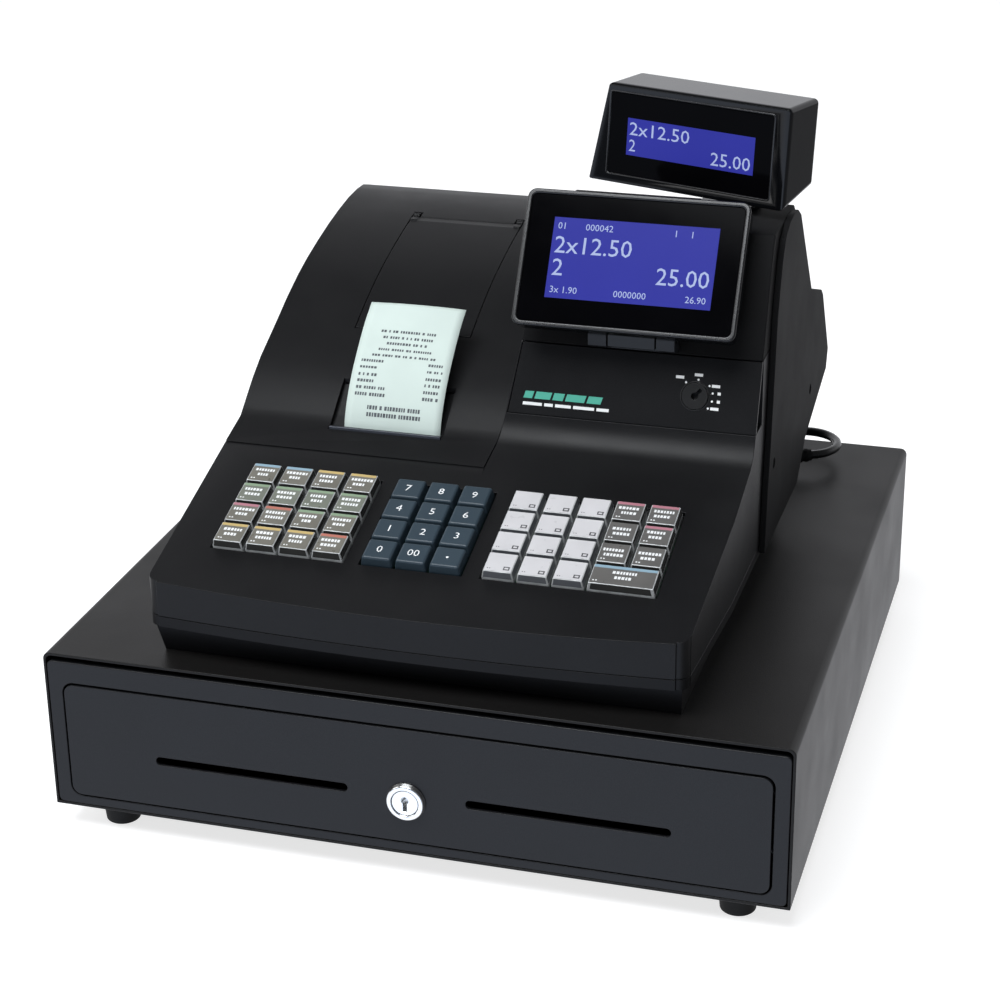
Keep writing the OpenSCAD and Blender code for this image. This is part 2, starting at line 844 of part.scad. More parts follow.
module strain_relief() {
    color("#101011") lifted() {
        span([110, 128, top_z + 0.2], [relief_at[0] + 3, 149, cord_z + 9]);
        translate([relief_at[0], relief_at[1], cord_z]) rotate([0, 90, relief_yaw]) {
            cylinder(h = relief_len, r1 = 5.2, r2 = 3.6, $fn = 40);
            for (d = [7:4:23]) translate([0, 0, d]) cylinder(h = 1.8, r = 5.4 - d / 20, $fn = 40);
        }
    }
}

// the route, from the strain relief to the start of the coil, in case coordinates
floor_z = cord_d / 2 - foot_h + 0.1;
turn_r = 22.5;
land_r = 24;
route = concat(
    // round to the back from the relief
    [for (a = [relief_yaw - 90:19:relief_yaw + 43]) [
        exit_at[0] + turn_r * (cos(a) - sin(relief_yaw)),
        exit_at[1] + turn_r * (sin(a) + cos(relief_yaw)), cord_z - (a + 65) / 90]],
    // behind the register, down on the drawer's roof and over its edge
    [[141.5, 193.8, 102.6], [129, 196.5, 100.5], [114, 196.3, 98.3], [98, 193, 96.8],
        [82, 189, 96.4], [65, 186, 96.4], [48, 185, 96.4], [30, 187, 96.5],
        [14, 194, 96.8], [1, 205, 96.4], [-9, 216, 90.5], [-15.5, 223.5, 77],
        [-19, 227, 57], [-21.5, 228, 36]],
    // down the back and on to the floor
    [for (a = [180:22.5:270]) [-24 - (a - 180) / 15, 252 + land_r * cos(a),
        floor_z + land_r * (1 + sin(a))]],
    [[coil_at[0] + coil_out, 263, floor_z]]
);

function unit(v) = v / norm(v);

function along(i) = unit(route[min(i + 1, len(route) - 1)] - route[max(i - 1, 0)]);

sides = 10;

function ring(i) = let (
        t = along(i),
        u = unit(cross(t, abs(t[2]) > 0.9 ? [1, 0, 0] : [0, 0, 1])),
        v = cross(u, t)
    ) [for (k = [0:sides - 1]) route[i] + cord_d / 2 * (
        cos(360 * k / sides) * u + sin(360 * k / sides) * v)];

module mains_cord() {
    n = len(route);
    points = [for (i = [0:n - 1]) each ring(i)];
    walls = [for (i = [0:n - 2], k = [0:sides - 1])
        [i * sides + k, i * sides + (k + 1) % sides, (i + 1) * sides + (k + 1) % sides,
            (i + 1) * sides + k]];
    start_cap = [[for (k = [sides - 1:-1:0]) k]];
    end_cap = [[for (k = [0:sides - 1]) (n - 1) * sides + k]];
    color("#0f0f10") lifted() polyhedron(points, concat(walls, start_cap, end_cap));
}

// the coil's outer shape: turns beside and on each other
module cord_coil() {
    color("#0f0f10") grounded() translate([coil_at[0], coil_at[1], coil_low])
        rotate_extrude($fn = 72) translate([coil_r - coil_w / 2, 0]) square([coil_w, coil_h]);
}

module cord_tie() {
    color("#2b2b2d") grounded()
        translate([coil_at[0], coil_at[1] + coil_r, coil_low + coil_h / 2]) rotate([0, 90, 0])
            difference() {
                cube([coil_h + 1.8, coil_w + 2.2, 6], center = true);
                cube([coil_h + 0.2, coil_w + 0.6, 8], center = true);
            }
}

// beside the coil, with its pins towards the drawer
module mains_plug() {
    color("#121213") grounded() translate([coil_at[0] - coil_out - 6, 240, 0]) {
        translate([-11, -12, 0.1]) cube([22, 24, 16]);
        translate([-6, 11, 3]) cube([12, 8, 10]);
        for (x = [-7, 5.5]) translate([x, -20, 5]) cube([1.5, 9, 6.5]);
    }
}

// ---------- which node to draw ----------

drawer_case();
drawer_front_frame();
drawer_feet();
outer_slides();
latch_unit();
drawer_front();
drawer_box();
till_tray();
lock_bezel();
lock_plug();
bill_clip_1();
bill_clip_2();
bill_clip_3();
bill_clip_4();
base_pan();
upper_case();
tower_cover();
side_cover();
switch_panel();
key_switch();
printer_cover();
paper_door();
receipt_paper();
printer_mechanism();
paper_roll();
keyboard_board();
display_bracket();
operator_display_housing();
operator_display_bezel();
operator_display_glass();
customer_display_neck();
customer_display_housing();
customer_display_glass();
strain_relief();
mains_cord();
cord_coil();
cord_tie();
mains_plug();
number_key_7();
number_key_8();
number_key_9();
number_key_4();
number_key_5();
number_key_6();
number_key_1();
number_key_2();
number_key_3();
number_key_0();
number_key_00();
number_key_point();
left_keys_row_1();
left_keys_row_2();
left_keys_row_3();
left_keys_row_4();
white_keys_column_1();
white_keys_column_2();
white_keys_column_3();
function_keys_column_1();
function_keys_column_2();
tender_key();
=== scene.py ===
"""Electronic cash register: materials, details, cord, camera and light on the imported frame."""

import math
import random

import bpy
import bmesh
from mathutils import Matrix, Vector


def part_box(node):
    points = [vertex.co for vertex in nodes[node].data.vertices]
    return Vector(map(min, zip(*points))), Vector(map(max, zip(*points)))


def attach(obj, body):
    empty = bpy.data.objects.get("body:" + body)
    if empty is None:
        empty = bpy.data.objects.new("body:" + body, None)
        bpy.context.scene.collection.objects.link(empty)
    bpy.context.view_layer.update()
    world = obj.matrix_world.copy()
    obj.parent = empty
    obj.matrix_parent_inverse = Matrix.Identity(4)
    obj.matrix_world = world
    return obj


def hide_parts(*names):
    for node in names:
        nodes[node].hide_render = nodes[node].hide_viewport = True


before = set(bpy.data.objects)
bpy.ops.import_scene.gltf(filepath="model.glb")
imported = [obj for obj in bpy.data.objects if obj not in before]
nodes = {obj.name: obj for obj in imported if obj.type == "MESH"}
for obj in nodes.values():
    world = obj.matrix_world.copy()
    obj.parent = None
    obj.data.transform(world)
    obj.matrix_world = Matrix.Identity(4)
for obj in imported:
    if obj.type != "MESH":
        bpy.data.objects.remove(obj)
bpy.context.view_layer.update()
random.seed(7)
MM = 0.001

# the case frame that part.scad draws in, as seen from the row frame, in millimetres
CASE_Y, CASE_Z = 1.75, 15
CASE = Matrix.Translation((0, CASE_Y * MM, CASE_Z * MM))

PRINT_LIFT = 0.06       # how far printed marks stand off their surface, mm
EDGE_ANGLE = 32         # edges sharper than this are rounded, degrees
FLAT_ANGLE = 0.4        # faces closer than this are joined before that, degrees
WELD_FINE, WELD_COARSE = 0.00001, 0.00025


def case_point(x, y, z):
    return CASE @ Vector((x * MM, y * MM, z * MM))


def turn(axis, degrees):
    return Matrix.Rotation(math.radians(degrees), 4, axis)


def place(x, y, z):
    return Matrix.Translation((x * MM, y * MM, z * MM))


# ---------- camera ----------


def set_camera():
    azimuth, elevation, roll = (math.radians(a) for a in (16.70, 23.55, -0.77))
    back = Vector((math.sin(azimuth) * math.cos(elevation),
                   -math.cos(azimuth) * math.cos(elevation), math.sin(elevation)))
    side = Vector((0, 0, 1)).cross(back).normalized()
    rise = back.cross(side)
    right = math.cos(roll) * side + math.sin(roll) * rise
    up = math.cos(roll) * rise - math.sin(roll) * side
    data = bpy.data.cameras.new("camera")
    data.lens, data.sensor_width = 86.96, 36
    data.clip_start, data.clip_end = 0.05, 60
    camera = bpy.data.objects.new("camera", data)
    m = Matrix((right, up, back)).transposed().to_4x4()
    m.translation = (0.36599, -1.24188, 0.70038)
    camera.matrix_world = m
    bpy.context.scene.collection.objects.link(camera)
    bpy.context.scene.camera = camera


# ---------- materials ----------


def material(name, color, rough, metal=0.0, grain=(1800, 0.15), tint=0.1, tint_scale=9,
             rough_spread=0.03, stretch=None, coat=0.0, specular=0.5, flecks=0.0):
    """Moulded or painted surface: cloudy tint, roughness patches and a fine grain bump."""
    m = bpy.data.materials.new(name)
    m.use_nodes = True
    t = m.node_tree
    shader = t.nodes["Principled BSDF"]
    shader.inputs["Metallic"].default_value = metal
    shader.inputs["Specular IOR Level"].default_value = specular
    shader.inputs["Coat Weight"].default_value = coat
    shader.inputs["Coat Roughness"].default_value = 0.08
    where = t.nodes.new("ShaderNodeTexCoord").outputs["Object"]
    if stretch:
        mapping = t.nodes.new("ShaderNodeMapping")
        mapping.inputs["Scale"].default_value = stretch
        t.links.new(where, mapping.inputs["Vector"])
        where = mapping.outputs["Vector"]

    def noise(scale, detail=3.0):
        n = t.nodes.new("ShaderNodeTexNoise")
        n.inputs["Scale"].default_value = scale
        n.inputs["Detail"].default_value = detail
        t.links.new(where, n.inputs["Vector"])
        return n.outputs["Fac"]

    def spread(value, low, high):
        r = t.nodes.new("ShaderNodeMapRange")
        r.inputs["From Min"].default_value = 0.3
        r.inputs["From Max"].default_value = 0.7
        r.inputs["To Min"].default_value = low
        r.inputs["To Max"].default_value = high
        t.links.new(value, r.inputs["Value"])
        return r.outputs["Result"]

    fine = noise(grain[0], 2.0)
    mix = t.nodes.new("ShaderNodeMix")
    mix.data_type = "RGBA"
    mix.inputs["A"].default_value = (*[c * (1 - tint) for c in color], 1)
    mix.inputs["B"].default_value = (*[min(1, c * (1 + tint)) for c in color], 1)
    t.links.new(spread(noise(tint_scale, 5.0), 0, 1), mix.inputs["Factor"])
    result = mix.outputs["Result"]
    if flecks:
        fleck = t.nodes.new("ShaderNodeMix")
        fleck.data_type = "RGBA"
        fleck.inputs["B"].default_value = (*[min(1, c * 3 + 0.02) for c in color], 1)
        t.links.new(result, fleck.inputs["A"])
        t.links.new(spread(fine, 0, flecks), fleck.inputs["Factor"])
        result = fleck.outputs["Result"]
    t.links.new(result, shader.inputs["Base Color"])
    t.links.new(spread(noise(tint_scale * 4, 4.0), rough - rough_spread, rough + rough_spread),
                shader.inputs["Roughness"])
    bump = t.nodes.new("ShaderNodeBump")
    bump.inputs["Strength"].default_value = grain[1]
    bump.inputs["Distance"].default_value = 0.00012
    t.links.new(fine, bump.inputs["Height"])
    t.links.new(bump.outputs["Normal"], shader.inputs["Normal"])
    return m


def glowing(name, color, strength):
    """A lit screen: emission with a soft drift in brightness."""
    m = bpy.data.materials.new(name)
    m.use_nodes = True
    t = m.node_tree
    shader = t.nodes["Principled BSDF"]
    shader.inputs["Base Color"].default_value = (*[c * 0.25 for c in color], 1)
    shader.inputs["Roughness"].default_value = 0.25
    shader.inputs["Specular IOR Level"].default_value = 0.05
    shader.inputs["Emission Strength"].default_value = strength
    where = t.nodes.new("ShaderNodeTexCoord").outputs["Object"]
    n = t.nodes.new("ShaderNodeTexNoise")
    n.inputs["Scale"].default_value = 30
    t.links.new(where, n.inputs["Vector"])
    mix = t.nodes.new("ShaderNodeMix")
    mix.data_type = "RGBA"
    mix.inputs["A"].default_value = (*[c * 0.86 for c in color], 1)
    mix.inputs["B"].default_value = (*color, 1)
    t.links.new(n.outputs["Fac"], mix.inputs["Factor"])
    t.links.new(mix.outputs["Result"], shader.inputs["Emission Color"])
    return m


def make_materials():
    m = {}

    def add(name, color, rough, **look):
        m[name] = material(name, color, rough, **look)

    add("case_paint", (0.0050, 0.0046, 0.0044), 0.40, grain=(1500, 0.5), flecks=0.12, tint_scale=6,
        specular=0.16)
    add("front_paint", (0.0052, 0.0053, 0.0062), 0.38, grain=(1500, 0.5), flecks=0.12, tint_scale=6,
        specular=0.24)
    add("cover_plastic", (0.0045, 0.0045, 0.0050), 0.42, grain=(2100, 0.45), flecks=0.10,
        specular=0.16)
    add("side_plastic", (0.0060, 0.0060, 0.0064), 0.66, grain=(2100, 0.45), flecks=0.10,
        specular=0.06)
    add("pan_plastic", (0.004, 0.004, 0.0045), 0.46, grain=(2100, 0.4), specular=0.14)
    add("steel", (0.52, 0.53, 0.54), 0.34, metal=1.0, grain=(400, 0.25), stretch=(1, 0.05, 1),
        tint=0.12)
    add("mechanism", (0.10, 0.105, 0.12), 0.4, metal=0.9, grain=(600, 0.2), tint=0.15)
    add("rubber", (0.007, 0.007, 0.007), 0.7, grain=(900, 0.5), specular=0.2)
    add("till_plastic", (0.010, 0.010, 0.011), 0.5, grain=(1500, 0.4), specular=0.3)
    add("clip_plastic", (0.035, 0.036, 0.04), 0.4)
    add("chrome", (0.78, 0.78, 0.77), 0.2, metal=1.0, grain=(700, 0.08), tint=0.08,
        rough_spread=0.05)
    add("switch_grey", (0.012, 0.012, 0.012), 0.36, specular=0.3)
    add("paper", (0.53, 0.61, 0.57), 0.8, grain=(700, 0.25), tint=0.03, tint_scale=40, specular=0.2)
    add("board_green", (0.02, 0.10, 0.045), 0.3, grain=(300, 0.2))
    add("bracket_grey", (0.010, 0.011, 0.013), 0.4, specular=0.3)
    add("bezel_dark", (0.006, 0.006, 0.007), 0.26, grain=(900, 0.06), rough_spread=0.04,
        specular=0.45)
    add("screen_glass", (0.0012, 0.0012, 0.0016), 0.10, tint=0.3, grain=(300, 0.01),
        rough_spread=0.02, specular=0.02)
    add("display_plastic", (0.0024, 0.0026, 0.0032), 0.15, grain=(1500, 0.08), rough_spread=0.03,
        specular=0.26)
    add("cord_plastic", (0.006, 0.006, 0.006), 0.28, grain=(500, 0.1), rough_spread=0.05,
        specular=0.4)
    add("number_blue", (0.028, 0.044, 0.058), 0.36, grain=(2300, 0.3), specular=0.3)
    # clear key caps drawn opaque light grey: the grey is a painted glint standing for light
    # refracted through the clear plastic at the cap rims
    add("clear_rim", (0.40, 0.41, 0.41), 0.16, grain=(500, 0.03), tint=0.25, tint_scale=160,
        coat=0.5, rough_spread=0.05)
    add("key_side", (0.035, 0.035, 0.033), 0.2, coat=0.5, tint=0.3)
    add("key_side_pale", (0.10, 0.105, 0.115), 0.22, coat=0.5)
    add("legend_olive", (0.150, 0.143, 0.120), 0.3, coat=0.6, tint=0.12, tint_scale=60)
    add("legend_green", (0.155, 0.168, 0.138), 0.3, coat=0.6, tint=0.12, tint_scale=60)
    add("legend_taupe", (0.110, 0.106, 0.100), 0.3, coat=0.6, tint=0.12, tint_scale=60)
    add("legend_white", (0.56, 0.55, 0.56), 0.3, coat=0.6, tint=0.05, tint_scale=60)
    add("band_blue", (0.24, 0.36, 0.44), 0.3, coat=0.6, tint=0.08)
    add("band_gold", (0.50, 0.37, 0.15), 0.3, coat=0.6, tint=0.08)
    add("band_green", (0.22, 0.30, 0.20), 0.3, coat=0.6, tint=0.08)
    add("band_red", (0.42, 0.15, 0.11), 0.3, coat=0.6, tint=0.08)
    add("band_pink", (0.42, 0.18, 0.22), 0.3, coat=0.6, tint=0.08)
    add("mark_white", (0.75, 0.76, 0.76), 0.4, tint=0.05)
    add("mark_green", (0.07, 0.36, 0.27), 0.4, tint=0.08)
    add("mark_dark", (0.05, 0.05, 0.055), 0.4, tint=0.1)
    add("ink", (0.07, 0.08, 0.09), 0.7, tint=0.3, tint_scale=400)
    m["lcd_blue"] = glowing("lcd_blue", (0.026, 0.030, 0.27), 1.0)
    m["lcd_text"] = glowing("lcd_text", (0.34, 0.40, 0.62), 1.0)
    return m


# ---------- mesh helpers ----------


def shade_smooth(mesh):
    mesh.polygons.foreach_set("use_smooth", [True] * len(mesh.polygons))


def add_object(name, mesh, body, materials):
    o = bpy.data.objects.new(name, mesh)
    for one in materials:
        mesh.materials.append(one)
    bpy.context.scene.collection.objects.link(o)
    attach(o, body)
    return o


def bevel(o, width, segments=2, clamp=False):
    b = o.modifiers.new("bevel", "BEVEL")
    b.width, b.segments = width, segments
    b.limit_method, b.angle_limit = "ANGLE", math.radians(EDGE_ANGLE)
    b.use_clamp_overlap = clamp
    b.harden_normals = True


def finish_node(name, m, width, segments=2, clamp=False):
    """A CAD node's material, with its sharp edges broken by a small round.

    clamp is for nodes whose corners are too tight for the full width.
    """
    o = nodes[name]
    o.data.materials.clear()
    o.data.materials.append(m)
    for shading in ("custom_normal", "sharp_edge"):
        if shading in o.data.attributes:
            o.data.attributes.remove(o.data.attributes[shading])
    shade_smooth(o.data)
    w = o.modifiers.new("weld", "WELD")
    w.merge_threshold = WELD_FINE if clamp else WELD_COARSE
    d = o.modifiers.new("flat", "DECIMATE")
    d.decimate_type, d.angle_limit = "DISSOLVE", math.radians(FLAT_ANGLE)
    bevel(o, width, segments, clamp)


class Build:
    """Collects flat shapes in a local frame (millimetres) into one mesh."""

    def __init__(self, frame_matrix):
        self.bm = bmesh.new()
        self.frame = frame_matrix
        self.slots = []

    def _slot(self, m):
        if m not in self.slots:
            self.slots.append(m)
        return self.slots.index(m)

    def face(self, points, m):
        f = self.bm.faces.new([self.bm.verts.new(self.frame @ (Vector(p) * MM)) for p in points])
        f.material_index = self._slot(m)
        return f

    def rectangle(self, x0, x1, y0, y1, z, m):
        self.face([(x0, y0, z), (x1, y0, z), (x1, y1, z), (x0, y1, z)], m)

    def plate(self, x0, x1, y0, y1, z, m, thick=0.12):
        """A thin slab lying on z with its sides."""
        low = [(x0, y0), (x1, y0), (x1, y1), (x0, y1)]
        self.rectangle(x0, x1, y0, y1, z + thick, m)
        for i in range(4):
            a, b = low[i], low[(i + 1) % 4]
            self.face([(*a, z), (*b, z), (*b, z + thick), (*a, z + thick)], m)

    def disc(self, x, y, r, z, m, n=16):
        self.face([(x + r * math.cos(2 * math.pi * k / n), y + r * math.sin(2 * math.pi * k / n), z)
                   for k in range(n)], m)

    def text(self, words, x, y, height, z, m, align="LEFT", width=None):
        """Plain figures standing on the baseline y."""
        points, faces, w = figures(words)
        kx = height if width is None else width / w
        shift = {"LEFT": 0, "CENTER": -w * kx / 2, "RIGHT": -w * kx}[align]
        for f in faces:
            self.face([(x + shift + points[i][0] * kx, y + points[i][1] * height, z) for i in f], m)

    def object(self, name, body, slot):
        mesh = bpy.data.meshes.new(name)
        self.bm.to_mesh(mesh)
        self.bm.free()
        return add_object(name, mesh, body, self.slots)


_figures = {}


def figures(words):
    """Triangulated outline of a few figures, one unit tall."""
    if words not in _figures:
        curve = bpy.data.curves.new("figures", "FONT")
        curve.body, curve.size, curve.resolution_u = words, 1, 2
        o = bpy.data.objects.new("figures", curve)
        bpy.context.scene.collection.objects.link(o)
        bpy.context.view_layer.update()
        mesh = bpy.data.meshes.new_from_object(o)
        points = [(v.co.x, v.co.y) for v in mesh.vertices]
        faces = [tuple(p.vertices) for p in mesh.polygons]
        bpy.data.objects.remove(o)
        bpy.data.curves.remove(curve)
        bpy.data.meshes.remove(mesh)
        tall = max(y for _, y in points)
        left = min(x for x, _ in points)
        points = [((x - left) / tall, y / tall) for x, y in points]
        _figures[words] = points, faces, max(x for x, _ in points)
    return _figures[words]


# ---------- cord ----------

COIL = dict(x=-65.75, y=280.0, low=1.0, r_in=24.25, r_out=34.75, step=5.6, layers=4, turns=1.875)
CORD_R = 2.75


def cord_points():
    """The route from the strain relief to the plug, in case coordinates."""
    floor = CORD_R - CASE_Z + 0.2
    yaw, reach = math.radians(25), 27
    x0, y0, z0 = 127 + reach * math.cos(yaw), 138 + reach * math.sin(yaw), 105
    turn_r, land_r = 22.5, 24
    points = []
    for i in range(8):
        a = math.radians(-65 + 19 * i)
        points.append((x0 + turn_r * (math.cos(a) - math.sin(yaw)),
                       y0 + turn_r * (math.sin(a) + math.cos(yaw)), z0 - 19 * i / 90))
    points += [(141.5, 193.8, 102.6), (129, 196.5, 100.5), (114, 196.3, 98.3),
               (98, 193, 96.8), (82, 189, 96.5), (65, 186, 96.5), (48, 185, 96.5),
               (30, 187, 96.5), (14, 194, 96.8), (1, 205, 96.4), (-9, 216, 90.5),
               (-15.5, 223.5, 77), (-19, 227, 57), (-21.5, 228, 36)]
    for i in range(5):
        a = math.radians(180 + 22.5 * i)
        points.append((-24 - 1.5 * i, 252 + land_r * math.cos(a),
                       floor + land_r * (1 + math.sin(a))))
    points.append((COIL["x"] + COIL["r_out"], 263, floor))
    return points


def coil_points():
    low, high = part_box("mains_plug")
    plug_x = (low.x + high.x) / 2 / MM
    plug_back = high.y / MM - CASE_Y
    per_layer = COIL["turns"] * 2 * math.pi
    total = per_layer * COIL["layers"]
    first = COIL["low"] + CORD_R - CASE_Z
    points = []
    n = int(24 * COIL["turns"] * COIL["layers"])
    leave = math.radians(75)
    end_r = COIL["x"] - plug_x
    for i in range(n + 1):
        a = total * i / n
        layer = min(int(a / per_layer), COIL["layers"] - 1)
        share = a / per_layer - layer
        inward = share if layer % 2 == 0 else 1 - share
        r = COIL["r_out"] + (COIL["r_in"] - COIL["r_out"]) * inward
        # climb smoothly to the next layer round each change
        level = 0.0
        for k in range(1, COIL["layers"]):
            t = (a - k * per_layer) / math.radians(30)
            t = max(0.0, min(1.0, (t + 1) / 2))
            level += t * t * (3 - 2 * t)
        z = first + COIL["step"] * level
        t = max(0.0, (a - total + leave) / leave)
        t = t * t * (3 - 2 * t)
        r += (end_r - r) * t
        z += (-1.5 - z) * t
        points.append((COIL["x"] + r * math.cos(a), COIL["y"] + r * math.sin(a), z))
    points.append((plug_x, plug_back + 8, -5.6))
    points.append((plug_x, plug_back - 1, -7.0))
    return points


def make_cord(m):
    points = [case_point(*p) for p in cord_points() + coil_points()]
    curve = bpy.data.curves.new("mains_lead", "CURVE")
    curve.dimensions = "3D"
    curve.bevel_depth = CORD_R * MM
    curve.bevel_resolution = 3
    curve.resolution_u = 4
    curve.use_fill_caps = True
    spline = curve.splines.new("BEZIER")
    spline.bezier_points.add(len(points) - 1)
    for b, p in zip(spline.bezier_points, points):
        b.co = p
        b.handle_left_type = b.handle_right_type = "AUTO"
    o = bpy.data.objects.new("mains_lead", curve)
    curve.materials.append(m["cord_plastic"])
    bpy.context.scene.collection.objects.link(o)
    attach(o, "register")
    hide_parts("mains_cord", "cord_coil")


# ---------- keys ----------

DECK = CASE @ place(0, -187.8, 138.1) @ turn("X", 16.1)
PITCH_X, PITCH_S, ROW_S0, KEY_TOP = 18.8, 17.25, 90.2, 4.6


def cap_faces(x, s, w):
    """The corners of a key cap's foot and top."""
    bw, bs, tw, ts = (w - 1.4) / 2, (PITCH_S - 1.1) / 2, (w - 3.3) / 2, (PITCH_S - 2.2) / 2
    foot = [(x - bw, s - bs, 0), (x + bw, s - bs, 0), (x + bw, s + bs, 0), (x - bw, s + bs, 0)]
    top = [(x - tw, s - ts, KEY_TOP), (x + tw, s - ts, KEY_TOP), (x + tw, s + ts, KEY_TOP),
           (x - tw, s + ts, KEY_TOP)]
    return foot, top


def dress_key(build, m, x, s, w, legend, band, side, marks):
    """The plates that lie on a clear cap: its four sides, the legend and its band."""
    foot, top = cap_faces(x, s, w)
    for i in range(4):
        a, b, c, d = (Vector(p) for p in (foot[i], foot[(i + 1) % 4], top[(i + 1) % 4], top[i]))
        out = (b - a).cross(d - a).normalized() * PRINT_LIFT
        rim, low, high = 0.045, 0.12, 0.95
        left = lambda t: (a + (d - a) * t) * (1 - rim) + (b + (c - b) * t) * rim + out
        right = lambda t: (a + (d - a) * t) * rim + (b + (c - b) * t) * (1 - rim) + out
        build.face([left(low), right(low), right(high), left(high)], m[side])
    x0, x1, s0, s1 = top[0][0] + 0.5, top[1][0] - 0.5, top[0][1] + 0.5, top[2][1] - 0.5
    z = KEY_TOP
    if band:
        build.plate(x0, x1, s1 - 2.0, s1, z, m[band])
        build.plate(x0, x1, s0, s1 - 2.0, z, m[legend])
    else:
        build.plate(x0, x1, s0, s1, z, m[legend])
    z += 0.15
    marks(build, m, x0, x1, s0, s1, z)


def word_marks(build, m, x0, x1, s0, s1, z):
    """Two short rows of bars where the real key has a word."""
    middle = (x0 + x1) / 2
    span = min(6.2, (x1 - x0) * random.uniform(0.34, 0.42))
    for row, share in ((0.58, 1.0), (0.30, random.uniform(0.5, 0.9))):
        y = s0 + (s1 - s0) * row
        x = middle - span * share
        while x < middle + span * share - 0.6:
            w = random.uniform(0.9, 1.6)
            build.rectangle(x, x + w, y, y + 2.1, z, m["mark_white"])
            x += w + 0.5
    for k in (0, 1):
        build.disc(x0 + 1.8 + 1.5 * k, s0 + 1.8, 0.5, z, m["mark_white"], 10)


def corner_marks(build, m, x0, x1, s0, s1, z):
    """A small dark box at the lower right and two dots at the lower left."""
    build.rectangle(x1 - 4.6, x1 - 1.2, s0 + 1.3, s0 + 4.0, z, m["mark_dark"])
    build.rectangle(x1 - 3.9, x1 - 1.9, s0 + 2.0, s0 + 3.3, z + 0.03, m["legend_white"])
    for k in (0, 1):
        build.disc(x0 + 1.6 + 1.2 * k, s0 + 1.9, 0.32, z, m["mark_dark"], 10)


def make_keys(m):
    left_x, number_x, right_x = -112.3, -28.15, 38.4
    bands = [["band_blue", "band_blue", "band_gold", "band_gold"], ["band_green"] * 4,
             ["band_pink", "band_red", "band_green", "band_green"],
             ["band_gold", "band_gold", "band_gold", "band_red"]]
    # the caps take the light grey that paints the refraction glint of clear plastic
    for r in range(4):
        node = f"left_keys_row_{r + 1}"
        finish_node(node, m["clear_rim"], 0.0005)
        b = Build(DECK)
        for c in range(4):
            dress_key(b, m, left_x + c * PITCH_X, ROW_S0 - r * PITCH_S, PITCH_X,
                      "legend_green" if r == 1 else "legend_olive", bands[r][c], "key_side",
                      word_marks)
        b.object(f"left_key_inserts_{r + 1}", node + "_body", "key_clear_olive")
    for c in range(3):
        node = f"white_keys_column_{c + 1}"
        finish_node(node, m["clear_rim"], 0.0005)
        b = Build(DECK)
        for r in range(4):
            dress_key(b, m, right_x + c * PITCH_X, ROW_S0 - r * PITCH_S, PITCH_X, "legend_white",
                      None, "key_side_pale", corner_marks)
        b.object(f"white_key_inserts_{c + 1}", node + "_body", "key_white")
    tops = [["band_pink", None, None], ["band_pink", "band_pink", None]]
    for c in range(2):
        node = f"function_keys_column_{c + 1}"
        finish_node(node, m["clear_rim"], 0.0005)
        b = Build(DECK)
        for r in range(3):
            dress_key(b, m, right_x + (3 + c) * PITCH_X, ROW_S0 - r * PITCH_S, PITCH_X,
                      "legend_taupe", tops[c][r], "key_side", word_marks)
        b.object(f"function_key_inserts_{c + 1}", node + "_body", "key_taupe")
    finish_node("tender_key", m["clear_rim"], 0.0005)
    b = Build(DECK)
    dress_key(b, m, right_x + 3.5 * PITCH_X, ROW_S0 - 3 * PITCH_S, 2 * PITCH_X, "legend_taupe",
              "band_blue", "key_side", word_marks)
    b.object("tender_key_insert", "tender_key_body", "key_taupe")

    names = [["7", "8", "9"], ["4", "5", "6"], ["1", "2", "3"], ["0", "00", "point"]]
    for r, row in enumerate(names):
        for c, name in enumerate(row):
            node = f"number_key_{name}"
            finish_node(node, m["number_blue"], 0.0012, 4)
            b = Build(DECK)
            x, s = number_x + c * PITCH_X, ROW_S0 - r * PITCH_S
            if name == "point":
                b.disc(x, s - 0.6, 0.75, KEY_TOP + 0.04, m["mark_white"])
            else:
                b.text(name, x, s - 2.4, 4.8, KEY_TOP + 0.04, m["mark_white"], "CENTER")
            b.object(f"number_mark_{name}", node + "_body", "number_blue")


# ---------- displays ----------

OPERATOR = CASE @ place(76.9, -50, 247.9) @ turn("X", 90 - 31.4)
CUSTOMER = CASE @ place(91, 41.5, 297.4) @ turn("Z", -18.4) @ turn("X", 90 - 6)


def screen(build, m, x0, y0, w, h, z):
    build.plate(x0, x0 + w, y0, y0 + h, z, m["lcd_blue"], 0.05)


